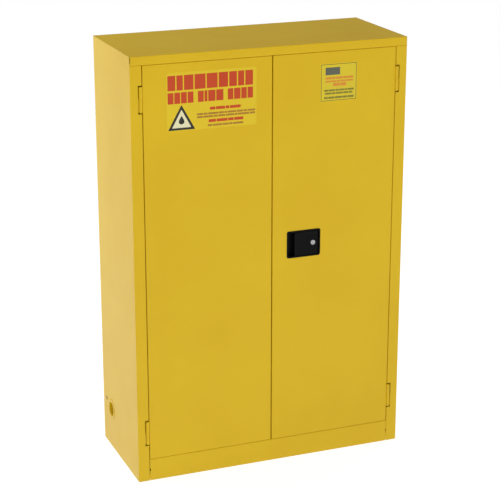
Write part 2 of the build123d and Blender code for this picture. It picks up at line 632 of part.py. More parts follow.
def centre_bolt():
    """Cross bolt into the left door's edge."""
    x, z = hub_x - ear_r * sin(radians(ear_angle)), bolt_z()
    bar = flat_bar(-bolt_reach, x, z - bolt_half, z + bolt_half)
    bar = chamfer(bar.faces().sort_by(Axis.X)[0].edges().filter_by(Axis.Y), bolt_tip)
    bar += flat_bar(x - bar_end, x + bar_end, z - bar_end, z + bar_end)
    return bar - pin_slot(x, z, "z")


def bar_guides():
    """Slotted blocks on the door's inner skin that carry the bars."""
    inner_y = front + door_depth - sheet
    y0, y1 = bar_y - bar_thick / 2 - bar_play, bar_y + bar_thick / 2 + bar_play
    top_x, low_x = hub_x - rod_offset(), hub_x + rod_offset()
    places = [(top_x, z) for z in guide_top_zs] + [(low_x, z) for z in guide_low_zs]
    guides = []
    half, tall = bar_width / 2 + bar_play, guide_half_z
    for x, z in places:
        guide = block(x - half - guide_wall, x + half + guide_wall, bar_y - guide_front, inner_y,
                      z - tall, z + tall)
        guides.append(guide - block(x - half, x + half, y0, y1, z - tall - over, z + tall + over))
    z, half = bolt_z(), bolt_half + bar_play
    x0, x1 = guide_bolt_x
    guide = block(x0, x1, bar_y - guide_front, inner_y, z - half - guide_wall, z + half + guide_wall)
    guides.append(guide - block(x0 - over, x1 + over, y0, y1, z - half, z + half))
    return guides


def strike_plate(x, z):
    """Slotted plate behind a bar's hole in the head or the sill."""
    plate = block(x - strike_half_x, x + strike_half_x, bar_y - strike_half_y, bar_y + strike_half_y,
                  z, z + strike_thick)
    half_x, half_y = bar_width / 2 + over, bar_thick / 2 + over
    return plate - block(x - half_x, x + half_x, bar_y - half_y, bar_y + half_y,
                         z - over, z + strike_thick + over)


def left_door_strike():
    """Slotted plate behind the left door's meeting edge."""
    z, x = bolt_z(), -meet_x - sheet
    y1 = front + door_depth - sheet - 2 * clear
    plate = block(x - strike_thick, x, y1 - door_strike_deep, y1, z - door_strike_half, z + door_strike_half)
    return plate - meeting_slot(strike_play)


def dish_screws():
    """Four flat-headed screws through the recess's back corners."""
    x0, x1, z0, z1 = tub_outline()
    at_y = front + tub_depth - tub_wall
    heads = []
    for x in (x0 + screw_inset, x1 - screw_inset):
        for z in (z0 + screw_inset, z1 - screw_inset):
            head = rod(screw_r, screw_high, (x, at_y, z), (0, -1, 0))
            heads.append(head - Pos(x, at_y - screw_high, z) * Box(2 * screw_r, screw_slot, screw_slot))
    return heads


def paddle_spring():
    """Torsion spring round the paddle's pin."""
    path = Helix(pitch=spring_pitch, height=spring_long, radius=spring_coil_r,
                 center=(pivot_x, pivot_y, latch_z - spring_drop))
    return sweep(Plane(origin=path @ 0, z_dir=path % 0) * Circle(spring_wire_r), path=path)


def label(x0, x1, z0, z1):
    return block(x0, x1, front - label_thick, front, z0, z1)


# ---- write every node ----

left_shell, right_shell = vented_side(True), vented_side(False)
write("outer_side_left", left_shell)
write("outer_side_right", right_shell)
write("outer_top", outer_top())
write("outer_back", outer_back())
write("outer_bottom", outer_bottom())
write("front_sill", front_sill())
write("inner_side_left", inner_side(True))
write("inner_side_right", inner_side(False))
write("inner_back", block(-wall_x, wall_x, inner_back_y, inner_back_y + sheet, inner_low_z, inner_top_z))
write("inner_top", block(-wall_x - sheet, wall_x + sheet, inside_y, inner_back_y + sheet,
                         inner_top_z, inner_top_z + sheet))
write("sump_pan", sump_pan())
side_bars, back_bars, flat_bars = spacers()
write("side_spacers", *side_bars)
write("back_spacers", *back_bars)
write("top_and_bottom_spacers", *flat_bars)

standards = [shelf_standard(y) for y in standard_ys]
write("shelf_standards", *standards, *[mirrored(s) for s in standards])
for level, z in shelf_zs.items():
    clips = [shelf_clip(y, z) for y in standard_ys]
    write(f"{level}_shelf_clips", *clips, *[mirrored(c) for c in clips])
    write(f"{level}_shelf", shelf(z))

vents = {name: vent(name) for name in ("left", "right")}
for piece, node in (("flange", "vent_flanges"), ("tube", "vent_tubes"), ("gasket", "vent_gaskets"),
                    ("screen", "flame_arrester_rings"), ("mesh", "flame_arrester_screens")):
    write(node, vents["left"][piece], vents["right"][piece])
for name, pieces in vents.items():
    write(f"vent_plug_{name}", pieces["plug"])

write("ground_insert", ground_insert())
write("foot_nuts", *[foot_nut(x, y) for x, y in foot_places()])
for x, y in foot_places():
    write(f"foot_{'front' if y < 0 else 'rear'}_{'left' if x < 0 else 'right'}", foot(x, y))

brackets = [hinge_bracket(low) for low in hinge_low_zs]
pins = [hinge_pin(low) for low in hinge_low_zs]
knuckles = [door_knuckle(low) for low in hinge_low_zs]
write("hinge_brackets", *brackets, *[mirrored(b) for b in brackets])
write("hinge_pins", *pins, *[mirrored(p) for p in pins])
write("right_door_knuckles", *knuckles)
write("left_door_knuckles", *[mirrored(k) for k in knuckles])
write("strike_plates", strike_plate(hub_x - rod_offset(), head_z + sheet),
      strike_plate(hub_x + rod_offset(), sill_z - sheet - strike_thick))

write("left_door_skin", mirrored(door_skin()) - meeting_slot(strike_play))
write("left_door_inner_skin", mirrored(door_inner_skin()))
write("left_door_stiffener", mirrored(door_stiffener()))
write("left_door_strike", left_door_strike())
write("hazard_label", label(*hazard_limits))

write("right_door_skin", right_door_skin())
write("right_door_inner_skin", door_inner_skin())
write("right_door_stiffener", door_stiffener())
write("data_label", label(*data_limits))
write("latch_dish", latch_dish())
write("dish_screws", *dish_screws())
write("paddle_pin", Pos(pivot_x, pivot_y, latch_z) * Cylinder(paddle_pin_r, latch_h - 2 * tub_inset))
write("paddle_spring", paddle_spring())
write("hub_pivot", hub_pivot())
write("bar_guides", *bar_guides())
write("paddle", paddle())
write("lock_barrel", lock_barrel())
write("lock_plug", lock_plug())
write("lock_cam", lock_cam())
write("latch_hub", latch_hub())
write("top_rod", top_rod())
write("bottom_rod", bottom_rod())
write("centre_bolt", centre_bolt())
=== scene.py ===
import bpy
import bmesh
import json
from math import cos, pi, radians, sin
from mathutils import Matrix, Vector


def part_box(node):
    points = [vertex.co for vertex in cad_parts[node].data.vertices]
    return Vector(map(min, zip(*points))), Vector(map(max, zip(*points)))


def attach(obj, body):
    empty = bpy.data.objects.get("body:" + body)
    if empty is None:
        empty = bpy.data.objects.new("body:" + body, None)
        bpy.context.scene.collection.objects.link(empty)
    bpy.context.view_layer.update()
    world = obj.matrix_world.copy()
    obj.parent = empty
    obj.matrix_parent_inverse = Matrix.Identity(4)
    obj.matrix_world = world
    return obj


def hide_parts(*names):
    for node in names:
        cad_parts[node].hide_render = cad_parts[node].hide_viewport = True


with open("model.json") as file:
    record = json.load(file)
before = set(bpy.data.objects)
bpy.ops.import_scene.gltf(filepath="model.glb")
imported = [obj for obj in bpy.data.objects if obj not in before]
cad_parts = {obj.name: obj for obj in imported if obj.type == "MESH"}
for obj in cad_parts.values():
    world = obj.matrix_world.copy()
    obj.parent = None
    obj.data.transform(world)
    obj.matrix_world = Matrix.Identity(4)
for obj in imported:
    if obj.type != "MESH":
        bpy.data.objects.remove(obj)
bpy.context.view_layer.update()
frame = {"nodes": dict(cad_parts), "record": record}
nodes = frame["nodes"]
print("cabinet frame loaded:", len(nodes), "nodes")

scene = bpy.context.scene
scene.view_settings.view_transform = "Standard"
mm = 0.001               # the frame is in metres


# camera, floor and light

viewpoint = {
    "place": (-2.192, -5.577, 2.748),
    "turn": 21.46,       # degrees to the right of straight on
    "dip": 17.97,        # degrees below level
    "lens": 115.56,
    "sensor": 36.0,
    "sees": 200.0,       # metres
}

studio = {
    "floorSize": 60.0,
    "floorColor": (0.42, 0.42, 0.42, 1.0),
    "floorGlow": 0.80,                       # a lit table under the white sheet
    "glowColor": (1.0, 1.0, 1.0, 1.0),
    "floorGrain": (40.0, 3.0),               # scale and detail
    "floorRoughness": (0.6, 0.7),
    "horizonLight": (0.02, 0.02, 0.02, 1.0),
    "zenithLight": (0.68, 0.68, 0.68, 1.0),
    "backdrop": (1.0, 1.0, 1.0, 1.0),
    "lamps": [
        # name, place, aim, size, watts
        ("frontLeftBox", (-2.6, -5.6, 3.6), (0.0, 0.0, 0.9), 3.2, 102.0),
        ("rightFill", (5.0, -2.0, 2.6), (0.0, 0.0, 0.8), 3.0, 45.0),
        ("leftRearBox", (-3.0, 2.4, 3.2), (-1.4, 0.8, 0.2), 2.4, 72.0),
        ("rightRearBox", (5.0, 3.0, 2.8), (0.2, 0.2, 0.6), 2.6, 40.0),
    ],
}


def aimAlong(direction):
    return direction.to_track_quat("-Z", "Y").to_euler()


def placeCamera():
    turn, dip = radians(viewpoint["turn"]), radians(viewpoint["dip"])
    lens = bpy.data.cameras.new("viewCamera")
    lens.lens = viewpoint["lens"]
    lens.sensor_width = viewpoint["sensor"]
    lens.clip_end = viewpoint["sees"]
    camera = bpy.data.objects.new("viewCamera", lens)
    camera.location = viewpoint["place"]
    camera.rotation_euler = aimAlong(Vector((sin(turn) * cos(dip), cos(turn) * cos(dip), -sin(dip))))
    scene.collection.objects.link(camera)
    scene.camera = camera


# small helpers for node trees

midNoise = (0.3, 0.7)    # where most values of a noise lie

def addNode(tree, kind, settings=None, feeds=None):
    node = tree.nodes.new(kind)
    for key, value in (settings or {}).items():
        setattr(node, key, value)
    for socket, value in (feeds or {}).items():
        if isinstance(value, bpy.types.NodeSocket):
            tree.links.new(value, node.inputs[socket])
        else:
            node.inputs[socket].default_value = value
    return node


def calc(tree, operation, first, second):
    return addNode(tree, "ShaderNodeMath", {"operation": operation}, {0: first, 1: second}).outputs[0]


def times(tree, first, second):
    return calc(tree, "MULTIPLY", first, second)


def remap(tree, value, low, high, newLow=0.0, newHigh=1.0):
    feeds = {"Value": value, "From Min": low, "From Max": high, "To Min": newLow, "To Max": newHigh}
    return addNode(tree, "ShaderNodeMapRange", None, feeds).outputs["Result"]


def noiseAt(tree, vector, scale, detail=2.0):
    feeds = {"Vector": vector, "Scale": scale, "Detail": detail}
    return addNode(tree, "ShaderNodeTexNoise", None, feeds).outputs["Fac"]


def mixColor(tree, factor, first, second):
    feeds = {0: factor, 6: first, 7: second}
    return addNode(tree, "ShaderNodeMix", {"data_type": "RGBA"}, feeds).outputs[2]


def stretch(tree, vector, scale):
    return addNode(tree, "ShaderNodeMapping", None, {"Vector": vector, "Scale": scale}).outputs["Vector"]


def objectPlace(tree):
    return addNode(tree, "ShaderNodeTexCoord").outputs["Object"]


def bumpFrom(tree, height, strength, distance, normal=None):
    feeds = {"Height": height, "Strength": strength, "Distance": distance}
    if normal is not None:
        feeds["Normal"] = normal
    return addNode(tree, "ShaderNodeBump", None, feeds).outputs["Normal"]


def startMaterial(name):
    material = bpy.data.materials.new(name)
    material.use_nodes = True
    tree = material.node_tree
    return material, tree, tree.nodes["Principled BSDF"]


def dress(tree, shader, fixed, varied):
    for socket, value in fixed.items():
        shader.inputs[socket].default_value = value
    for socket, source in varied.items():
        tree.links.new(source, shader.inputs[socket])


def lightStudio():
    world = bpy.data.worlds.new("studioWorld")
    world.use_nodes = True
    tree = world.node_tree
    sky = tree.nodes["Background"]
    direction = addNode(tree, "ShaderNodeTexCoord").outputs["Generated"]
    rise = addNode(tree, "ShaderNodeSeparateXYZ", None, {0: direction}).outputs["Z"]
    glow = mixColor(tree, remap(tree, rise, 0.0, 1.0), studio["horizonLight"], studio["zenithLight"])
    tree.links.new(glow, sky.inputs["Color"])
    backdrop = addNode(tree, "ShaderNodeBackground", None, {"Color": studio["backdrop"]})
    seen = addNode(tree, "ShaderNodeLightPath").outputs["Is Camera Ray"]
    blend = addNode(tree, "ShaderNodeMixShader", None,
                    {0: seen, 1: sky.outputs[0], 2: backdrop.outputs[0]})
    tree.links.new(blend.outputs[0], tree.nodes["World Output"].inputs["Surface"])
    scene.world = world
    for name, place, aim, size, watts in studio["lamps"]:
        lamp = bpy.data.lights.new(name, "AREA")
        lamp.shape = "DISK"
        lamp.size = size
        lamp.energy = watts
        holder = bpy.data.objects.new(name, lamp)
        holder.location = place
        holder.rotation_euler = aimAlong(Vector(aim) - Vector(place))
        scene.collection.objects.link(holder)


def layFloor():
    bm = bmesh.new()
    bmesh.ops.create_grid(bm, x_segments=1, y_segments=1, size=studio["floorSize"] / 2)
    mesh = bpy.data.meshes.new("studioFloor")
    bm.to_mesh(mesh)
    bm.free()
    floor = bpy.data.objects.new("studioFloor", mesh)
    scene.collection.objects.link(floor)
    material, tree, shader = startMaterial("paleFloor")
    grain = noiseAt(tree, objectPlace(tree), *studio["floorGrain"])
    roughness = remap(tree, grain, *midNoise, *studio["floorRoughness"])
    dress(tree, shader, {"Base Color": studio["floorColor"], "Specular IOR Level": 0.0,
                         "Emission Color": studio["glowColor"], "Emission Strength": studio["floorGlow"]},
          {"Roughness": roughness})
    mesh.materials.append(material)


placeCamera()
lightStudio()
layFloor()
print("camera, light and floor are set")


# shader groups that several finishes share

numberKind, vectorKind = "NodeSocketFloat", "NodeSocketVector"


def startGroup(name, takes, gives):
    tree = bpy.data.node_groups.new(name, "ShaderNodeTree")
    for label, kind, start in takes:
        socket = tree.interface.new_socket(name=label, in_out="INPUT", socket_type=kind)
        if start is not None:
            socket.default_value = start
    for label, kind in gives:
        tree.interface.new_socket(name=label, in_out="OUTPUT", socket_type=kind)
    return tree, tree.nodes.new("NodeGroupInput").outputs, tree.nodes.new("NodeGroupOutput").inputs


def useGroup(tree, group, feeds):
    return addNode(tree, "ShaderNodeGroup", {"node_tree": group}, feeds).outputs


# orange peel of a sprayed or powder coat, and its slow change of tone
coatMix = {"peelShare": 0.8, "fineShare": 0.2, "fineScale": 5.0, "slowScale": 0.01, "slowDetail": 4.0}


def buildCoatGrain():
    look = coatMix
    tree, given, result = startGroup(
        "coatGrain", [("Vector", vectorKind, None), ("Scale", numberKind, 400.0)],
        [("Height", numberKind), ("Mottle", numberKind)])
    place, scale = given["Vector"], given["Scale"]
    peel = noiseAt(tree, place, scale, 1.0)
    fine = noiseAt(tree, place, times(tree, scale, look["fineScale"]), 0.0)
    height = calc(tree, "ADD", times(tree, peel, look["peelShare"]), times(tree, fine, look["fineShare"]))
    slow = noiseAt(tree, place, times(tree, scale, look["slowScale"]), look["slowDetail"])
    tree.links.new(height, result["Height"])
    tree.links.new(remap(tree, slow, *midNoise), result["Mottle"])
    return tree


# rounded shading normal at an edge, a plain mask of the edges that the enamel and metal finishes lighten as a
# painted highlight, and a broken mask of where the edge is rubbed
edgeMaskMix = {"samples": 6, "agreement": (0.99, 0.75), "patchDetail": 5.0, "patches": (0.5, 0.68)}


def buildEdgeWearAndHighlight():
    look = edgeMaskMix
    tree, given, result = startGroup(
        "edgeWearAndHighlight",
        [("Vector", vectorKind, None), ("Radius", numberKind, 0.001), ("Breakup", numberKind, 60.0)],
        [("Edge", numberKind), ("Rubbed", numberKind), ("Normal", vectorKind)])
    rounded = addNode(tree, "ShaderNodeBevel", {"samples": look["samples"]},
                      {"Radius": given["Radius"]}).outputs["Normal"]
    flat = addNode(tree, "ShaderNodeNewGeometry").outputs["Normal"]
    agree = addNode(tree, "ShaderNodeVectorMath", {"operation": "DOT_PRODUCT"}, {0: rounded, 1: flat})
    edge = remap(tree, agree.outputs["Value"], *look["agreement"])
    noise = noiseAt(tree, given["Vector"], given["Breakup"], look["patchDetail"])
    tree.links.new(edge, result["Edge"])
    tree.links.new(times(tree, edge, remap(tree, noise, *look["patches"])), result["Rubbed"])
    tree.links.new(rounded, result["Normal"])
    return tree


# thin dust that lies on faces turned upwards
dustMix = {"detail": 6.0, "patches": (0.35, 0.75), "upwards": (0.7, 1.0)}


def buildSettledDust():
    tree, given, result = startGroup(
        "settledDust", [("Vector", vectorKind, None), ("Scale", numberKind, 9.0)], [("Mask", numberKind)])
    normal = addNode(tree, "ShaderNodeNewGeometry").outputs["Normal"]
    up = addNode(tree, "ShaderNodeSeparateXYZ", None, {0: normal}).outputs["Z"]
    noise = noiseAt(tree, given["Vector"], given["Scale"], dustMix["detail"])
    patches = remap(tree, noise, *dustMix["patches"])
    tree.links.new(times(tree, remap(tree, up, *dustMix["upwards"]), patches), result["Mask"])
    return tree


# faint smears and hair scratches from handling
handlingMix = {"smearDetail": 5.0, "smears": (0.45, 0.75), "driftScale": 0.6, "lineScale": 1.6,
               "lineStretch": (1.0, 1.0, 0.22), "lineWidth": 0.006, "breakScale": 3.0,
               "breakDetail": 3.0, "breaks": (0.55, 0.7)}


def buildHandling():
    look = handlingMix
    tree, given, result = startGroup(
        "handling", [("Vector", vectorKind, None), ("Scale", numberKind, 14.0)],
        [("Smear", numberKind), ("Scratch", numberKind)])
    place, scale = given["Vector"], given["Scale"]
    smear = remap(tree, noiseAt(tree, place, scale, look["smearDetail"]), *look["smears"])
    drift = noiseAt(tree, place, times(tree, scale, look["driftScale"]))
    bent = addNode(tree, "ShaderNodeVectorMath", {"operation": "ADD"}, {0: place, 1: drift}).outputs[0]
    lines = addNode(tree, "ShaderNodeTexVoronoi", {"feature": "DISTANCE_TO_EDGE"},
                    {"Vector": stretch(tree, bent, look["lineStretch"]),
                     "Scale": times(tree, scale, look["lineScale"])}).outputs["Distance"]
    noise = noiseAt(tree, place, times(tree, scale, look["breakScale"]), look["breakDetail"])
    broken = remap(tree, noise, *look["breaks"])
    tree.links.new(smear, result["Smear"])
    tree.links.new(times(tree, remap(tree, lines, look["lineWidth"], 0.0), broken), result["Scratch"])
    return tree


# crystal flowers of hot-dip zinc
spangleMix = {"warp": (0.004, 0.004, 0.004), "featherStretch": (1.0, 1.0, 0.3), "featherScale": 6.0,
              "cellShare": 0.75, "featherShare": 0.25}


def buildSpangle():
    look = spangleMix
    tree, given, result = startGroup(
        "spangle", [("Vector", vectorKind, None), ("Scale", numberKind, 90.0)],
        [("Tone", numberKind), ("Height", numberKind)])
    place, scale = given["Vector"], given["Scale"]
    moved = addNode(tree, "ShaderNodeVectorMath", {"operation": "MULTIPLY_ADD"},
                    {0: noiseAt(tree, place, scale), 1: look["warp"], 2: place}).outputs[0]
    cell = addNode(tree, "ShaderNodeTexVoronoi", None, {"Vector": moved, "Scale": scale})
    tone = addNode(tree, "ShaderNodeSeparateColor", None, {0: cell.outputs["Color"]}).outputs[0]
    feather = noiseAt(tree, stretch(tree, moved, look["featherStretch"]),
                      times(tree, scale, look["featherScale"]))
    cells, feathers = times(tree, tone, look["cellShare"]), times(tree, feather, look["featherShare"])
    tree.links.new(calc(tree, "ADD", cells, feathers), result["Tone"])
    tree.links.new(cell.outputs["Distance"], result["Height"])
    return tree


# long fine lines left by drawing, rolling or turning; the vector is stretched beforehand
drawnMix = {"detail": 3.0, "toneScale": 0.06}


def buildDrawnGrain():
    tree, given, result = startGroup(
        "drawnGrain", [("Vector", vectorKind, None), ("Scale", numberKind, 900.0)],
        [("Line", numberKind), ("Tone", numberKind)])
    place, scale = given["Vector"], given["Scale"]
    tone = noiseAt(tree, place, times(tree, scale, drawnMix["toneScale"]), drawnMix["detail"])
    tree.links.new(noiseAt(tree, place, scale, drawnMix["detail"]), result["Line"])
    tree.links.new(remap(tree, tone, *midNoise), result["Tone"])
    return tree


coatGrain = buildCoatGrain()
edgeWearAndHighlight = buildEdgeWearAndHighlight()
settledDust = buildSettledDust()
handling = buildHandling()
spangle = buildSpangle()
drawnGrain = buildDrawnGrain()
print("shader groups built")


# finishes

enamelLooks = {
    "outside": {"color": (0.740, 0.492, 0.004, 1.0), "deep": (0.700, 0.448, 0.003, 1.0), "peel": 330.0,
                "peelDepth": 0.00005, "gloss": (0.37, 0.42), "level": 0.3, "dust": 0.02},
    "inside": {"color": (0.730, 0.480, 0.004, 1.0), "deep": (0.660, 0.415, 0.003, 1.0), "peel": 260.0,
               "peelDepth": 0.00008, "gloss": (0.42, 0.52), "level": 0.3, "dust": 0.08},
}
paintShades = {
    "dust": (0.62, 0.58, 0.48, 1.0),
    # painted highlight: a lighter yellow that every painted edge is mixed towards; the same colour also marks
    # real scratches
    "edgeHighlightAndScratch": (0.83, 0.60, 0.05, 1.0),
    "primer": (0.34, 0.30, 0.24, 1.0),
}
# painted highlight: the first share after radius and breakup sets how far every edge is lightened; rubbed and
# scratch are real wear
paintWearAndHighlight = {"radius": 0.0012, "breakup": 70.0, "thin": 0.35, "rubbed": 0.30, "scratch": 0.18, "bump": 0.6}


def makeEnamel(name, look):
    material, tree, shader = startMaterial(name)
    place = objectPlace(tree)
    grain = useGroup(tree, coatGrain, {"Vector": place, "Scale": look["peel"]})
    edge = useGroup(tree, edgeWearAndHighlight, {"Vector": place, "Radius": paintWearAndHighlight["radius"],
                                     "Breakup": paintWearAndHighlight["breakup"]})
    dust = useGroup(tree, settledDust, {"Vector": place})
    marks = useGroup(tree, handling, {"Vector": place})
    edgeHighlightAndScratch, primer = paintShades["edgeHighlightAndScratch"], paintShades["primer"]
    dusty = times(tree, dust["Mask"], look["dust"])
    color = mixColor(tree, grain["Mottle"], look["color"], look["deep"])
    # painted highlight: every edge is mixed towards a lighter yellow
    color = mixColor(tree, times(tree, edge["Edge"], paintWearAndHighlight["thin"]), color, edgeHighlightAndScratch)
    color = mixColor(tree, times(tree, edge["Rubbed"], paintWearAndHighlight["rubbed"]), color, primer)
    color = mixColor(tree, times(tree, marks["Scratch"], paintWearAndHighlight["scratch"]), color, edgeHighlightAndScratch)
    color = mixColor(tree, dusty, color, paintShades["dust"])
    rough = remap(tree, calc(tree, "ADD", grain["Mottle"], marks["Smear"]), 0.0, 2.0, *look["gloss"])
    rough = calc(tree, "ADD", rough, dusty)
    normal = bumpFrom(tree, grain["Height"], paintWearAndHighlight["bump"], look["peelDepth"], edge["Normal"])
    dress(tree, shader, {"Specular IOR Level": look["level"], "Specular Tint": (1.0, 1.0, 1.0, 1.0)},
          {"Base Color": color, "Roughness": rough, "Normal": normal})
    return material


galvanisedLook = {"dark": (0.34, 0.355, 0.37, 1.0), "light": (0.66, 0.68, 0.69, 1.0),
                  "oxide": (0.74, 0.75, 0.75, 1.0), "cells": 85.0, "radius": 0.0008, "breakup": 50.0,
                  "dustScale": 7.0, "dust": 0.25, "gloss": (0.30, 0.50), "bump": 0.25, "depth": 0.00005}


def makeGalvanised():
    look = galvanisedLook
    material, tree, shader = startMaterial("galvanisedSheet")
    place = objectPlace(tree)
    cells = useGroup(tree, spangle, {"Vector": place, "Scale": look["cells"]})
    edge = useGroup(tree, edgeWearAndHighlight, {"Vector": place, "Radius": look["radius"], "Breakup": look["breakup"]})
    dust = useGroup(tree, settledDust, {"Vector": place, "Scale": look["dustScale"]})
    color = mixColor(tree, cells["Tone"], look["dark"], look["light"])
    color = mixColor(tree, times(tree, dust["Mask"], look["dust"]), color, look["oxide"])
    rough = remap(tree, cells["Tone"], 0.0, 1.0, *look["gloss"])
    normal = bumpFrom(tree, cells["Height"], look["bump"], look["depth"], edge["Normal"])
    dress(tree, shader, {"Metallic": 0.9}, {"Base Color": color, "Roughness": rough, "Normal": normal})
    return material


metalLooks = {
    # name: light, dark, rough low, rough high, grain stretch, bump
    "zincPlate": ((0.70, 0.70, 0.66, 1.0), (0.52, 0.53, 0.53, 1.0), 0.24, 0.42, (1.0, 1.0, 0.06), 0.00002),
    "springWire": ((0.34, 0.34, 0.35, 1.0), (0.20, 0.20, 0.21, 1.0), 0.28, 0.45, (1.0, 1.0, 1.0), 0.00001),
    "dullBrass": ((0.42, 0.27, 0.10, 1.0), (0.25, 0.155, 0.055, 1.0), 0.38, 0.60, (0.1, 1.0, 1.0), 0.00002),
    "satinChrome": ((0.52, 0.52, 0.53, 1.0), (0.36, 0.36, 0.37, 1.0), 0.34, 0.46, (1.0, 1.0, 1.0), 0.00001),
    "screenWire": ((0.55, 0.55, 0.54, 1.0), (0.34, 0.34, 0.33, 1.0), 0.30, 0.50, (1.0, 1.0, 1.0), 0.00001),
}
# painted highlight: one share here sets how far every metal edge is mixed towards the light colour
metalEdgeHighlightLook = {"radius": 0.0005, "breakup": 200.0, "highlightShare": 0.5, "bump": 0.5}


def makeMetal(name):
    light, dark, roughLow, roughHigh, scale, depth = metalLooks[name]
    material, tree, shader = startMaterial(name)
    place = objectPlace(tree)
    grain = useGroup(tree, drawnGrain, {"Vector": stretch(tree, place, scale)})
    edge = useGroup(tree, edgeWearAndHighlight, {"Vector": place, "Radius": metalEdgeHighlightLook["radius"],
                                     "Breakup": metalEdgeHighlightLook["breakup"]})
    color = mixColor(tree, grain["Tone"], dark, light)
    # painted highlight: every edge is mixed towards the light colour
    color = mixColor(tree, times(tree, edge["Edge"], metalEdgeHighlightLook["highlightShare"]), color, light)
    rough = remap(tree, grain["Line"], *midNoise, roughLow, roughHigh)
    normal = bumpFrom(tree, grain["Line"], metalEdgeHighlightLook["bump"], depth, edge["Normal"])
    dress(tree, shader, {"Metallic": 1.0}, {"Base Color": color, "Roughness": rough, "Normal": normal})
    return material


latchLook = {"color": (0.0018, 0.0019, 0.0022, 1.0), "high": (0.0040, 0.0042, 0.0048, 1.0),
             "rubbed": (0.050, 0.050, 0.053, 1.0), "cast": 900.0, "gloss": (0.26, 0.38), "level": 0.08,
             "radius": 0.0011, "breakup": 160.0, "marks": 40.0, "wear": 0.35, "bump": 0.5, "depth": 0.00004}


def makeBlackCoat():
    look = latchLook
    material, tree, shader = startMaterial("blackLatchCoat")
    place = objectPlace(tree)
    grain = useGroup(tree, coatGrain, {"Vector": place, "Scale": look["cast"]})
    edge = useGroup(tree, edgeWearAndHighlight, {"Vector": place, "Radius": look["radius"], "Breakup": look["breakup"]})
    marks = useGroup(tree, handling, {"Vector": place, "Scale": look["marks"]})
    color = mixColor(tree, grain["Mottle"], look["color"], look["high"])
    color = mixColor(tree, times(tree, edge["Rubbed"], look["wear"]), color, look["rubbed"])
    rough = remap(tree, calc(tree, "ADD", grain["Mottle"], marks["Smear"]), 0.0, 2.0, *look["gloss"])
    normal = bumpFrom(tree, grain["Height"], look["bump"], look["depth"], edge["Normal"])
    dress(tree, shader, {"Specular IOR Level": look["level"]},
          {"Base Color": color, "Roughness": rough, "Normal": normal})
    return material


rubberLook = {"dark": (0.012, 0.012, 0.012, 1.0), "light": (0.028, 0.027, 0.026, 1.0),
              "dusty": (0.16, 0.155, 0.15, 1.0), "grain": 1500.0, "dustScale": 60.0, "dust": 0.3,
              "gloss": (0.62, 0.85), "bump": 0.5, "depth": 0.00005}


def makeRubber():
    look = rubberLook
    material, tree, shader = startMaterial("gasketRubber")
    place = objectPlace(tree)
    grain = useGroup(tree, coatGrain, {"Vector": place, "Scale": look["grain"]})
    dust = useGroup(tree, settledDust, {"Vector": place, "Scale": look["dustScale"]})
    color = mixColor(tree, grain["Mottle"], look["dark"], look["light"])
    color = mixColor(tree, times(tree, dust["Mask"], look["dust"]), color, look["dusty"])
    rough = remap(tree, grain["Mottle"], 0.0, 1.0, *look["gloss"])
    normal = bumpFrom(tree, grain["Height"], look["bump"], look["depth"])
    dress(tree, shader, {"Specular IOR Level": 0.35},
          {"Base Color": color, "Roughness": rough, "Normal": normal})
    return material


filmShades = {
    # name: colour, faded colour, roughness
    "hazardFilm": ((0.765, 0.555, 0.008, 1.0), (0.745, 0.525, 0.010, 1.0), 0.30),
    "dataFilm": ((0.720, 0.560, 0.016, 1.0), (0.690, 0.520, 0.022, 1.0), 0.30),
    "paleFilm": ((0.800, 0.760, 0.480, 1.0), (0.760, 0.710, 0.430, 1.0), 0.30),
    "redInk": ((0.540, 0.048, 0.006, 1.0), (0.590, 0.070, 0.008, 1.0), 0.42),
    "orangeInk": ((0.700, 0.235, 0.020, 1.0), (0.720, 0.290, 0.030, 1.0), 0.36),
    "oliveInk": ((0.200, 0.185, 0.014, 1.0), (0.260, 0.235, 0.020, 1.0), 0.40),
    "brownInk": ((0.380, 0.170, 0.014, 1.0), (0.450, 0.220, 0.020, 1.0), 0.40),
    "blackInk": ((0.020, 0.019, 0.012, 1.0), (0.035, 0.032, 0.020, 1.0), 0.32),
    "greyInk": ((0.100, 0.110, 0.075, 1.0), (0.150, 0.155, 0.105, 1.0), 0.40),
}
filmCoat = {"grain": 1100.0, "marks": 30.0, "dots": 2600.0, "dotTones": (0.4, 0.6, 0.6, 1.0),
            "worn": 0.10, "bump": 0.3, "depth": 0.00003}


def makeFilm(name):
    color, faded, rough = filmShades[name]
    material, tree, shader = startMaterial(name)
    place = objectPlace(tree)
    grain = useGroup(tree, coatGrain, {"Vector": place, "Scale": filmCoat["grain"]})
    marks = useGroup(tree, handling, {"Vector": place, "Scale": filmCoat["marks"]})
    dots = remap(tree, noiseAt(tree, place, filmCoat["dots"], 0.0), *filmCoat["dotTones"])
    shade = mixColor(tree, times(tree, grain["Mottle"], dots), color, faded)
    roughness = remap(tree, marks["Smear"], 0.0, 1.0, rough, rough + filmCoat["worn"])
    normal = bumpFrom(tree, grain["Height"], filmCoat["bump"], filmCoat["depth"])
    dress(tree, shader, {"Specular IOR Level": 0.35},
          {"Base Color": shade, "Roughness": roughness, "Normal": normal})
    return material


finishes = {
    "yellow_enamel": makeEnamel("yellowPowderCoat", enamelLooks["outside"]),
    "yellow_interior": makeEnamel("yellowInsideCoat", enamelLooks["inside"]),
    "galvanised": makeGalvanised(),
    "zinc_steel": makeMetal("zincPlate"),
    "black_latch": makeBlackCoat(),
    "lock_chrome": makeMetal("satinChrome"),
    "spring_steel": makeMetal("springWire"),
    "brass": makeMetal("dullBrass"),
    "screen_mesh": makeMetal("screenWire"),
    "gasket_rubber": makeRubber(),
    "label_yellow": makeFilm("hazardFilm"),
    "label_data": makeFilm("dataFilm"),
}
inkNames = ("paleFilm", "redInk", "orangeInk", "oliveInk", "brownInk", "blackInk", "greyInk")
inks = {name: makeFilm(name) for name in inkNames}

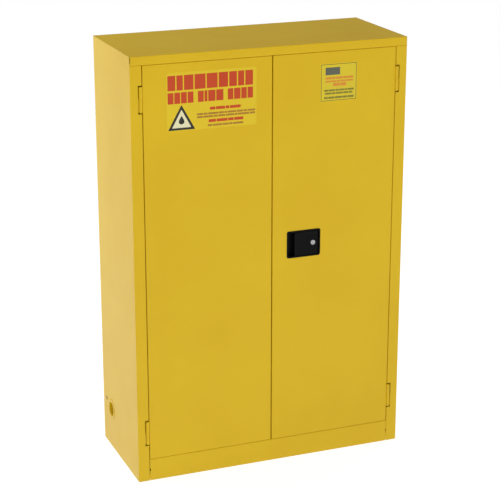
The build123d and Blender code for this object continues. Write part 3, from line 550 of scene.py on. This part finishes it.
for part in frame["record"]["subparts"]:
    mesh = nodes[part["node"]].data
    mesh.materials.clear()
    mesh.materials.append(finishes[part["material_slot"]])
print("finishes put on the sheet metal and fittings")


# helpers for new pieces

sameSpot = 1e-7          # metres


# matrix that carries a shape drawn on XY to a point, with +Z along the normal
def facing(point, normal):
    return Matrix.Translation(Vector(point)) @ Vector(normal).to_track_quat("Z", "Y").to_matrix().to_4x4()


def vertsOf(found):
    return [item for item in found if isinstance(item, bmesh.types.BMVert)]


def facesOf(found):
    return [item for item in found if isinstance(item, bmesh.types.BMFace)]


def addPiece(name, bm, body, materials, replaced=(), smoothAngle=None):
    bmesh.ops.remove_doubles(bm, verts=bm.verts[:], dist=sameSpot)
    bmesh.ops.recalc_face_normals(bm, faces=bm.faces[:])
    mesh = bpy.data.meshes.new(name)
    bm.to_mesh(mesh)
    bm.free()
    for material in materials:
        mesh.materials.append(material)
    if smoothAngle is not None:
        mesh.polygons.foreach_set("use_smooth", [True] * len(mesh.polygons))
        mesh.set_sharp_from_angle(angle=radians(smoothAngle))
    piece = bpy.data.objects.new(name, mesh)
    scene.collection.objects.link(piece)
    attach(piece, body)
    if replaced:
        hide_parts(*replaced)


def raiseFaces(bm, faces, offset):
    found = bmesh.ops.extrude_face_region(bm, geom=faces)["geom"]
    bmesh.ops.translate(bm, verts=vertsOf(found), vec=offset)
    return found


plateEdge = {"cornerSteps": 5, "edgeSteps": 2, "edgeShare": 0.3}


def newFace(bm, before):
    return next(face for face in bm.faces if face not in before)


def paintNew(bm, before, materialIndex):
    for face in bm.faces:
        if face not in before:
            face.material_index = materialIndex


# flat plate in the XZ plane, with rounded corners and a finely rounded front edge
def layPlate(bm, x0, x1, z0, z1, frontY, backY, corner, materialIndex=0):
    before = set(bm.faces)
    middle = Matrix.Translation(((x0 + x1) / 2, backY, (z0 + z1) / 2)) @ Matrix.Rotation(pi / 2, 4, "X")
    size = Matrix.Diagonal((x1 - x0, z1 - z0, 1.0, 1.0))
    bmesh.ops.create_grid(bm, x_segments=1, y_segments=1, size=0.5, matrix=middle @ size)
    if corner > 0:
        bmesh.ops.bevel(bm, geom=newFace(bm, before).verts[:], offset=corner, affect="VERTICES",
                        segments=plateEdge["cornerSteps"], profile=0.5, material=-1)
    raised = raiseFaces(bm, [newFace(bm, before)], (0.0, frontY - backY, 0.0))
    bmesh.ops.bevel(bm, geom=facesOf(raised)[0].edges[:], offset=abs(frontY - backY) * plateEdge["edgeShare"],
                    affect="EDGES", segments=plateEdge["edgeSteps"], profile=0.5, material=-1)
    paintNew(bm, before, materialIndex)


# hazard label: a vinyl film with blocks and bars, and a drop in a triangle

hazardSign = {
    "film": 0.20 * mm,
    "ink": 0.05 * mm,
    "corner": 9 * mm,
    "margin": (0.010, 0.040),        # left and right of the block rows, as shares of the width
    "bigRow": (0.050, 0.305),        # top and bottom, as shares of the height
    "bigBlocks": (5, 4, 6, 7, 7, 6, 5, 4, 5),
    "bigGap": 4.5 * mm,
    "smallRow": (0.340, 0.530),
    "smallGroups": ((5, 5, 5, 5), (4, 2, 5, 5), (6, 7, 6, 6)),
    "smallGap": 3.2 * mm,
    "groupGap": 17 * mm,
    "triangle": (0.160, 0.555, 0.985, 0.150),    # middle x, apex, base, half width
    "border": 0.024,                 # of the width
    "drawnIn": (2.1, 1.85),          # the pale triangle's apex and half width, in borders
    "rounding": (3 * mm, 2 * mm),    # black triangle, pale triangle
    "drop": (0.34, 0.21),            # height in the triangle, and size as a share of the half width
    "layer": 0.02 * mm,
    # left, right, middle height, ink, thickness, block widths
    "bars": ((0.475, 0.820, 0.655, "redInk", 0.050, (3, 5, 2, 6)),
             (0.330, 0.985, 0.740, "brownInk", 0.034, (5, 3, 8, 4, 2, 7, 5, 3, 6)),
             (0.330, 0.985, 0.790, "brownInk", 0.034, (4, 7, 3, 5, 6, 2, 8, 4)),
             (0.460, 0.850, 0.868, "redInk", 0.050, (4, 6, 3, 5)),
             (0.450, 0.850, 0.945, "brownInk", 0.034, (3, 6, 4, 2, 7))),
    "wordGap": 2.2 * mm,
}
blockCorner = 0.8 * mm


# a row of plain blocks whose widths are shares of the row
def layBlocks(bm, widths, x0, x1, z0, z1, frontY, backY, gap, materialIndex):
    unit = (x1 - x0 - gap * (len(widths) - 1)) / sum(widths)
    x = x0
    for width in widths:
        layPlate(bm, x, x + width * unit, z0, z1, frontY, backY, blockCorner, materialIndex)
        x += width * unit + gap


def layTriangle(bm, middleX, baseZ, apexZ, half, frontY, backY, corner, materialIndex):
    before = set(bm.faces)
    height = apexZ - baseZ
    flat = Matrix.Translation((middleX, backY, baseZ + height / 3)) @ Matrix.Rotation(pi / 2, 4, "X")
    spread = Matrix.Diagonal((half / sin(pi / 3), height / 1.5, 1.0, 1.0))
    bmesh.ops.create_circle(bm, cap_ends=True, segments=3, radius=1.0, matrix=flat @ spread)
    bmesh.ops.bevel(bm, geom=newFace(bm, before).verts[:], offset=corner, affect="VERTICES", segments=4,
                    profile=0.5, material=-1)
    raiseFaces(bm, [newFace(bm, before)], (0.0, frontY - backY, 0.0))
    paintNew(bm, before, materialIndex)


dropShape = {"sides": 32, "narrowing": 0.55, "tall": 1.9}


# a drop: a circle whose upper half draws in to a point
def layDrop(bm, middleX, middleZ, size, frontY, backY, materialIndex):
    before = set(bm.faces)
    flat = Matrix.Translation((middleX, backY, middleZ)) @ Matrix.Rotation(pi / 2, 4, "X")
    made = bmesh.ops.create_circle(bm, cap_ends=True, segments=dropShape["sides"], radius=size,
                                   matrix=flat)["verts"]
    for vert in made:
        rise = (vert.co.z - middleZ) / size
        if rise > 0:
            vert.co.x = middleX + (vert.co.x - middleX) * (1 - rise) ** dropShape["narrowing"]
            vert.co.z = middleZ + size * rise * dropShape["tall"]
    raiseFaces(bm, [newFace(bm, before)], (0.0, frontY - backY, 0.0))
    paintNew(bm, before, materialIndex)


def makeHazardLabel():
    low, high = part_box("hazard_label")
    width, height = high.x - low.x, high.z - low.z
    filmY = high.y - hazardSign["film"]
    inkY = filmY - hazardSign["ink"]
    bm = bmesh.new()
    layPlate(bm, low.x, high.x, low.z, high.z, filmY, high.y, hazardSign["corner"])
    addPiece("hazardFilmSheet", bm, "left_door", [finishes["label_yellow"]], ["hazard_label"])

    def acrossAt(share):
        return low.x + share * width

    def downAt(share):
        return high.z - share * height

    side, sideRight = hazardSign["margin"]
    bm = bmesh.new()
    x0, x1 = acrossAt(side), acrossAt(1 - sideRight)
    top, bottom = hazardSign["bigRow"]
    layBlocks(bm, hazardSign["bigBlocks"], x0, x1, downAt(bottom), downAt(top), inkY, filmY,
              hazardSign["bigGap"], 0)
    top, bottom = hazardSign["smallRow"]
    groupGap = hazardSign["groupGap"]
    groupWidth = (x1 - x0 - 2 * groupGap) / 3
    for index, group in enumerate(hazardSign["smallGroups"]):
        left = x0 + index * (groupWidth + groupGap)
        layBlocks(bm, group, left, left + groupWidth, downAt(bottom), downAt(top), inkY, filmY,
                  hazardSign["smallGap"], 0)
    order = ["redInk", "brownInk"]
    for x0, x1, middle, ink, thick, words in hazardSign["bars"]:
        z = downAt(middle)
        half = thick * height / 2
        layBlocks(bm, words, acrossAt(x0), acrossAt(x1), z - half, z + half, inkY, filmY,
                  hazardSign["wordGap"], order.index(ink))
    addPiece("hazardPrint", bm, "left_door", [inks[ink] for ink in order])

    middle, apex, base, half = hazardSign["triangle"]
    border, layer = hazardSign["border"] * width, hazardSign["layer"]
    x, z0, z1, half = acrossAt(middle), downAt(base), downAt(apex), half * width
    apexIn, sideIn = hazardSign["drawnIn"]
    blackRound, paleRound = hazardSign["rounding"]
    dropRise, dropSize = hazardSign["drop"]
    bm = bmesh.new()
    layTriangle(bm, x, z0, z1, half, inkY, filmY, blackRound, 0)
    layTriangle(bm, x, z0 + border, z1 - apexIn * border, half - sideIn * border, inkY - layer, filmY,
                paleRound, 1)
    layDrop(bm, x, z0 + dropRise * (z1 - z0), dropSize * half, inkY - 2 * layer, filmY, 0)
    addPiece("hazardTriangle", bm, "left_door", [inks["blackInk"], inks["paleFilm"]])


# data label: a thin frame, a plain grey block and bars

dataSign = {
    "film": 0.20 * mm,
    "ink": 0.05 * mm,
    "corner": 2.5 * mm,
    "inset": 2.0 * mm,
    "line": 1.6 * mm,
    "block": (0.13, 0.53, 0.10, 0.30),    # left, right, top, bottom
    "blockCorner": 1.5 * mm,
    # left, right, middle height, thickness, ink, block widths
    "bars": ((0.13, 0.90, 0.385, 0.055, "orangeInk", (6, 3, 7, 4, 5)),
             (0.13, 0.90, 0.470, 0.045, "orangeInk", (4, 6, 3, 5, 7)),
             (0.34, 0.70, 0.560, 0.085, "orangeInk", (5, 4)),
             (0.10, 0.92, 0.710, 0.050, "oliveInk", (4, 6, 3, 5, 2, 6)),
             (0.12, 0.88, 0.790, 0.050, "oliveInk", (5, 3, 6, 4, 3)),
             (0.10, 0.92, 0.905, 0.055, "oliveInk", (3, 5, 6, 4, 5))),
    "wordGap": 1.8 * mm,
}


def makeDataLabel():
    low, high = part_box("data_label")
    width, height = high.x - low.x, high.z - low.z
    filmY = high.y - dataSign["film"]
    inkY = filmY - dataSign["ink"]
    bm = bmesh.new()
    layPlate(bm, low.x, high.x, low.z, high.z, filmY, high.y, dataSign["corner"])
    addPiece("dataFilmSheet", bm, "right_door", [finishes["label_data"]], ["data_label"])
    bm = bmesh.new()
    inset, line = dataSign["inset"], dataSign["line"]
    x0, x1, z0, z1 = low.x + inset, high.x - inset, low.z + inset, high.z - inset
    for limits in ((x0, x1, z1 - line, z1), (x0, x1, z0, z0 + line),
                   (x0, x0 + line, z0 + line, z1 - line), (x1 - line, x1, z0 + line, z1 - line)):
        layPlate(bm, *limits, inkY, filmY, 0.0, 2)
    left, right, top, bottom = dataSign["block"]
    layPlate(bm, low.x + left * width, low.x + right * width, high.z - bottom * height, high.z - top * height,
             inkY, filmY, dataSign["blockCorner"], 3)
    order = ["orangeInk", "oliveInk"]
    for left, right, middle, thick, ink, words in dataSign["bars"]:
        z = high.z - middle * height
        half = thick * height / 2
        layBlocks(bm, words, low.x + left * width, low.x + right * width, z - half, z + half, inkY, filmY,
                  dataSign["wordGap"], order.index(ink))
    addPiece("dataPrint", bm, "right_door",
             [inks["orangeInk"], inks["oliveInk"], inks["blackInk"], inks["greyInk"]])


makeHazardLabel()
makeDataLabel()
print("labels laid on the doors")
# helpers for turned and drawn-out shapes

# a profile of (radius, height) points turned once about Z, in a mesh of its own
def turnProfile(profile, steps=48):
    turned = bmesh.new()
    ring = [turned.verts.new((radius, 0.0, height)) for radius, height in profile]
    lines = [turned.edges.new(pair) for pair in zip(ring, ring[1:])]
    bmesh.ops.spin(turned, geom=ring + lines, axis=(0.0, 0.0, 1.0), angle=2 * pi, steps=steps, use_merge=True)
    return turned


# a small round section drawn along +Z in equal steps, in a mesh of its own
def drawWire(radius, sides, length, steps):
    wire = bmesh.new()
    start = bmesh.ops.create_circle(wire, cap_ends=True, segments=sides, radius=radius)["verts"]
    cap = start[0].link_faces[0]
    bmesh.ops.spin(wire, geom=start + cap.edges[:] + [cap], axis=(0.0, 0.0, 1.0), angle=0.0,
                   dvec=(0.0, 0.0, length / steps), steps=steps)
    return wire


# adds a finished small mesh to the piece that it is part of
def addTo(bm, part, place):
    bmesh.ops.transform(part, matrix=place, verts=part.verts[:])
    carrier = bpy.data.meshes.new("carrier")
    part.to_mesh(carrier)
    part.free()
    bm.from_mesh(carrier)
    bpy.data.meshes.remove(carrier)


# levelling feet: turned pad, six-sided collar and a stud with a rolled thread

footLook = {
    "padRim": 0.7 * mm,
    "padSlope": 1.4 * mm,
    "padTop": 4.0 * mm,
    "collarReach": 9.0 * mm,
    "collarTop": 8.0 * mm,
    "collarBevel": 0.5 * mm,
    "core": 4.35 * mm,
    "crest": 4.95 * mm,
    "pitch": 1.5 * mm,
    "stepsPerTurn": 16,
    "bareEnds": 1.6 * mm,
    "sunk": 0.1 * mm,        # the ridge's foot, inside the core
    "ridgeShare": 0.92,      # of the pitch
    "crestShares": (0.42, 0.58),
    "studSteps": 32,
    "smoothAngle": 35,
}


def makeFoot(name):
    look = footLook
    low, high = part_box(name)
    place = Matrix.Translation(((low.x + high.x) / 2, (low.y + high.y) / 2, low.z))
    reach, top = (high.x - low.x) / 2, high.z - low.z
    rim, slope = look["padRim"], look["padSlope"]
    bm = bmesh.new()
    pad = [(0.0, 0.0), (reach - rim, 0.0), (reach, rim), (reach, look["padTop"] - 2 * rim),
           (reach - slope, look["padTop"] - rim / 2), (look["collarReach"], look["padTop"]),
           (0.0, look["padTop"])]
    addTo(bm, turnProfile(pad), place)
    base = place @ Matrix.Translation((0.0, 0.0, look["padTop"] - rim))
    corners = bmesh.ops.create_circle(bm, cap_ends=True, segments=6, radius=look["collarReach"],
                                      matrix=base)["verts"]
    raised = raiseFaces(bm, corners[0].link_faces[:], (0.0, 0.0, look["collarTop"] - look["padTop"] + rim))
    bmesh.ops.bevel(bm, geom=facesOf(raised)[0].edges[:], offset=look["collarBevel"], affect="EDGES",
                    segments=2, profile=0.5, material=-1)
    core, start = look["core"], look["collarTop"] - rim
    stud = [(0.0, start), (core, start), (core, top - rim), (core - rim, top), (0.0, top)]
    addTo(bm, turnProfile(stud, look["studSteps"]), place)
    addTo(bm, rollThread(look["collarTop"] + look["bareEnds"], top - look["bareEnds"]), place)
    tag = "".join(word.capitalize() for word in name.split("_"))
    addPiece("levelling" + tag, bm, name, [finishes["zinc_steel"]], [name], look["smoothAngle"])


# one ridge that climbs round the stud
def rollThread(start, end):
    look = footLook
    pitch, steps = look["pitch"], look["stepsPerTurn"]
    turns = int((end - start) / pitch) - 1
    inner, crest, wide = look["core"] - look["sunk"], look["crest"], pitch * look["ridgeShare"]
    rising, falling = look["crestShares"]
    outline = [(inner, start), (crest, start + wide * rising), (crest, start + wide * falling),
               (inner, start + wide)]
    thread = bmesh.new()
    corners = [thread.verts.new((radius, 0.0, height)) for radius, height in outline]
    ridge = thread.faces.new(corners)
    bmesh.ops.spin(thread, geom=corners + ridge.edges[:] + [ridge], axis=(0.0, 0.0, 1.0),
                   angle=2 * pi * turns, dvec=(0.0, 0.0, pitch / steps), steps=steps * turns)
    return thread


# flame arrester screens: plain-woven wire behind each vent

weave = {
    "radius": 25.9 * mm,
    "pitch": 2.0 * mm,
    "wire": 0.24 * mm,
    "rise": 0.30 * mm,
    "sides": 5,
    "thick": 1.5 * mm,
    "freeRim": 0.5,          # of the pitch
    "smoothAngle": 60,
}


# one wire of the weave, bent over and under the wires that it crosses
def layWovenWire(bm, place, index):
    pitch, rise = weave["pitch"], weave["rise"]
    offset = index * pitch
    half = int((weave["radius"] ** 2 - offset ** 2) ** 0.5 / (pitch / 2)) * pitch / 2
    steps = round(2 * half / (pitch / 2))
    wire = drawWire(weave["wire"], weave["sides"], 2 * half, steps)
    for vert in wire.verts:
        along = vert.co.z - half
        vert.co.x += rise * cos(pi * (along / pitch + index))
        vert.co.y += offset
    addTo(bm, wire, place @ Matrix.Translation((0.0, 0.0, -half)))


def makeScreens():
    low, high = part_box("flame_arrester_screens")
    middleY, radius = (low.y + high.y) / 2, (high.y - low.y) / 2
    bm = bmesh.new()
    halfThick = weave["thick"] / 2
    for x, z in ((low.x + halfThick, low.z + radius), (high.x - halfThick, high.z - radius)):
        centre = Matrix.Translation((x, middleY, z))
        count = int(weave["radius"] / weave["pitch"] - weave["freeRim"])
        for index in range(-count, count + 1):
            layWovenWire(bm, centre, index)
            layWovenWire(bm, centre @ Matrix.Rotation(pi, 4, "Z") @ Matrix.Rotation(pi / 2, 4, "X"), index)
    addPiece("wovenArresterScreens", bm, "cabinet", [finishes["screen_mesh"]],
             ["flame_arrester_screens"], weave["smoothAngle"])


# weld beads: a run of overlapping ripples, half sunk in the corner it fills

beadLook = {
    "radius": 1.5 * mm,
    "ripple": 1.9 * mm,
    "swell": 0.16,
    "meanSwell": 0.6,
    "endSize": 0.45,
    "taperRise": 6,
    "taperRipples": 12,
    "ringsPerRipple": 4,
    "sides": 8,
    "smoothAngle": 50,
    "notch": 104 * mm,       # height of one hinge notch
}


def layBead(bm, start, end, radius):
    look = beadLook
    line = Vector(end) - Vector(start)
    ripples = max(2, round(line.length / look["ripple"]))
    bead = drawWire(radius, look["sides"], line.length, ripples * look["ringsPerRipple"])
    for vert in bead.verts:
        along = vert.co.z / line.length
        swell = 1 + look["swell"] * (abs(sin(pi * ripples * along)) - look["meanSwell"])
        grown = look["taperRise"] * min(along, 1 - along) * ripples / look["taperRipples"]
        taper = min(1.0, look["endSize"] + grown)
        vert.co.x *= swell * taper
        vert.co.y *= swell * taper
    addTo(bm, bead, facing(start, line))


# height of one door barrel: what the barrels' span has over the distance between the two notches
def knuckleTall():
    knuckles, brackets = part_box("right_door_knuckles"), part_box("hinge_brackets")
    spread = brackets[1].z - brackets[0].z
    return (knuckles[1].z - knuckles[0].z) - (spread - beadLook["notch"])


def makeHingeWelds():
    radius = beadLook["radius"]
    tall = knuckleTall()
    for side, body in (("left", "left_door"), ("right", "right_door")):
        low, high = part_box(side + "_door_knuckles")
        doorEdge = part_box(side + "_door_skin")[0 if side == "left" else 1].x
        bm = bmesh.new()
        for z in (low.z, high.z - tall):
            layBead(bm, (doorEdge, high.y, z + 2 * radius), (doorEdge, high.y, z + tall - 2 * radius), radius)
        addPiece(side + "LeafWelds", bm, body, [finishes["yellow_enamel"]], (),
                 beadLook["smoothAngle"])


# spot welds: a shallow pressed ring wherever a skin or wall is joined to what is behind it

spotLook = {"inner": 1.6 * mm, "outer": 3.1 * mm, "proud": 0.22 * mm, "slope": 0.4 * mm, "steps": 14}
doorSpots = {"edge": 12 * mm, "upright": 19, "across": 7}


def layRing(bm, place):
    inner, outer, proud, slope = spotLook["inner"], spotLook["outer"], spotLook["proud"], spotLook["slope"]
    ring = [(inner, 0.0), (inner + slope, proud), (outer - slope, proud), (outer, 0.0), (inner, 0.0)]
    addTo(bm, turnProfile(ring, spotLook["steps"]), place)


def evenly(start, end, count):
    return [start + (end - start) * index / (count - 1) for index in range(count)]


def makeDoorSpots():
    edge = doorSpots["edge"]
    for side in ("left", "right"):
        low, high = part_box(side + "_door_inner_skin")
        bm = bmesh.new()
        for z in evenly(low.z + edge, high.z - edge, doorSpots["upright"]):
            for x in (low.x + edge, high.x - edge):
                layRing(bm, facing((x, high.y, z), (0.0, 1.0, 0.0)))
        for x in evenly(low.x + edge, high.x - edge, doorSpots["across"])[1:-1]:
            for z in (low.z + edge, high.z - edge):
                layRing(bm, facing((x, high.y, z), (0.0, 1.0, 0.0)))
        addPiece(side + "DoorSpotWelds", bm, side + "_door", [finishes["yellow_interior"]])


# the back's three spacers, each joined along its middle to the inner back and to the outer one
wallSpots = {"barHeights": (412.5 * mm, 912.5 * mm, 1362.5 * mm), "halfReach": 440 * mm, "across": 9,
             "sideInset": 12 * mm, "endInset": 40 * mm, "upright": 12}


def makeBackRows(bm, backY, outward):
    reach = wallSpots["halfReach"]
    for z in wallSpots["barHeights"]:
        for x in evenly(-reach, reach, wallSpots["across"]):
            layRing(bm, facing((x, backY, z), (0.0, outward, 0.0)))


def makeWallSpots():
    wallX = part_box("inner_side_right")[0].x
    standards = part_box("shelf_standards")
    inset, ends = wallSpots["sideInset"], wallSpots["endInset"]
    bm = bmesh.new()
    makeBackRows(bm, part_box("inner_back")[0].y, -1.0)
    sideLow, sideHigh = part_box("side_spacers")
    for y in (sideLow.y + inset, sideHigh.y - inset):
        for z in evenly(standards[0].z + ends, standards[1].z - ends, wallSpots["upright"]):
            layRing(bm, facing((wallX, y, z), (-1.0, 0.0, 0.0)))
            layRing(bm, facing((-wallX, y, z), (1.0, 0.0, 0.0)))
    addPiece("wallSpotWelds", bm, "cabinet", [finishes["yellow_interior"]])


def makeBackSpots():
    bm = bmesh.new()
    makeBackRows(bm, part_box("outer_back")[1].y, 1.0)
    addPiece("backSpotWelds", bm, "cabinet", [finishes["yellow_enamel"]])


for footName in ("foot_front_left", "foot_front_right", "foot_rear_left", "foot_rear_right"):
    makeFoot(footName)
print("levelling feet turned")
makeScreens()
print("arrester screens woven")
makeHingeWelds()
makeDoorSpots()
makeWallSpots()
makeBackSpots()
print("welds laid")
